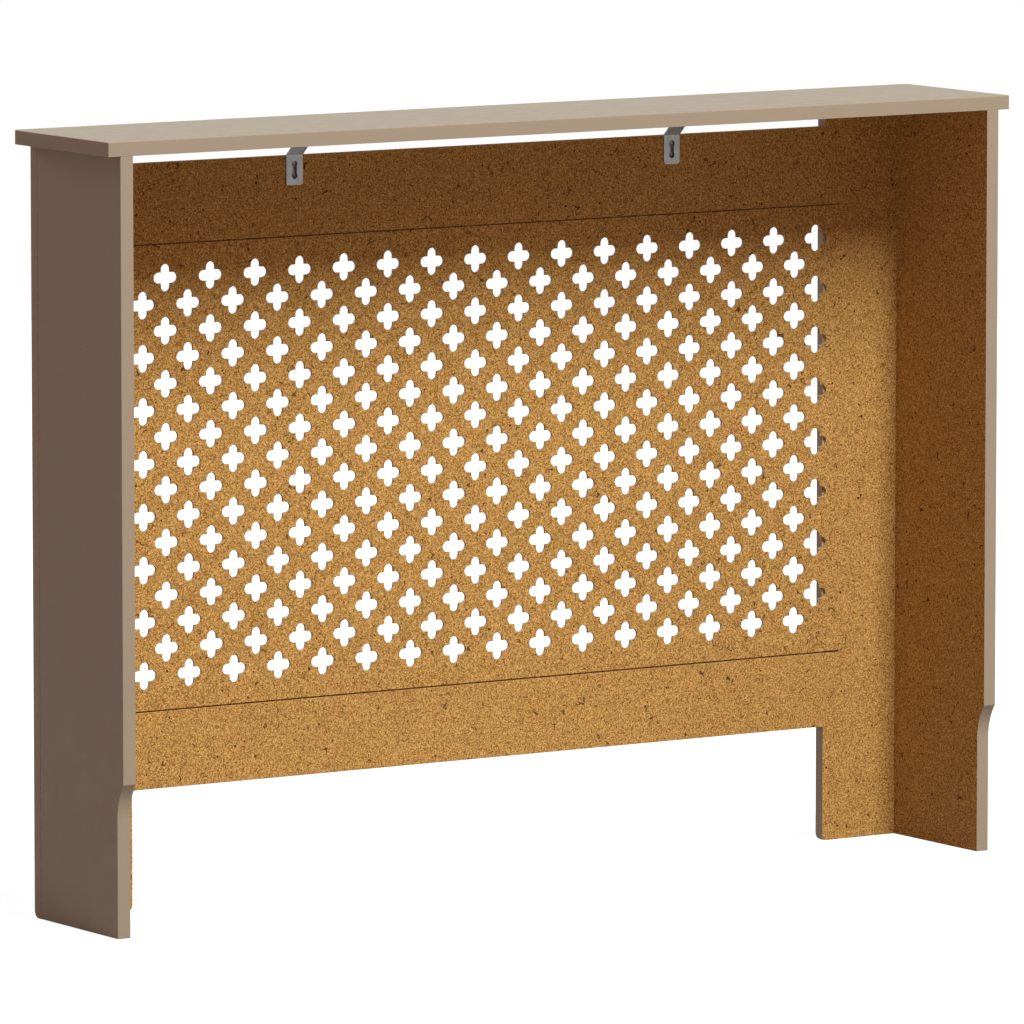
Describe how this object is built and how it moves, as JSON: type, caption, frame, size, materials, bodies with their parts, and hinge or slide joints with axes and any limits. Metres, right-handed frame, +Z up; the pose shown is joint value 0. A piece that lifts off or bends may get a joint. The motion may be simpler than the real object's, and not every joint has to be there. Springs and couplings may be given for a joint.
{
  "type": "radiator cover cabinet",
  "caption": "Open-backed radiator cover: a shelf on side panels, with a front frame that holds a quatrefoil grille over a cool-air gap and under a warm-air slot.",
  "frame": {"origin": "on the floor, under the middle of the shelf's width and depth", "axes": "+X to the right seen from the front, +Y from the front towards the wall, +Z up"},
  "size_m": [1.12, 0.19, 0.817],
  "materials": {
    "painted_board": "satin taupe paint on MDF",
    "raw_board": "raw MDF at the back, satin taupe paint at the front",
    "zinc_plate": "zinc-plated steel strip",
    "beech": "plain beech"
  },
  "bodies": {
    "root": {"top_shelf": "painted_board", "left_side_panel": "painted_board", "right_side_panel": "painted_board", "left_stile": "raw_board", "right_stile": "raw_board", "bottom_rail": "raw_board", "top_rail": "raw_board", "grille_panel": "raw_board", "left_stay_bracket": "zinc_plate", "right_stay_bracket": "zinc_plate", "bracket_screw_left_1": "zinc_plate", "bracket_screw_left_2": "zinc_plate", "bracket_screw_right_1": "zinc_plate", "bracket_screw_right_2": "zinc_plate", "dowel_shelf_side_left_1": "beech", "dowel_shelf_side_left_2": "beech", "dowel_shelf_side_right_1": "beech", "dowel_shelf_side_right_2": "beech", "dowel_shelf_stile_left": "beech", "dowel_shelf_stile_right": "beech", "dowel_stile_side_left_1": "beech", "dowel_stile_side_left_2": "beech", "dowel_stile_side_left_3": "beech", "dowel_stile_side_right_1": "beech", "dowel_stile_side_right_2": "beech", "dowel_stile_side_right_3": "beech", "dowel_bottom_rail_left_1": "beech", "dowel_bottom_rail_left_2": "beech", "dowel_bottom_rail_right_1": "beech", "dowel_bottom_rail_right_2": "beech", "dowel_top_rail_left_1": "beech", "dowel_top_rail_left_2": "beech", "dowel_top_rail_right_1": "beech", "dowel_top_rail_right_2": "beech"}
  },
  "joints": []
}
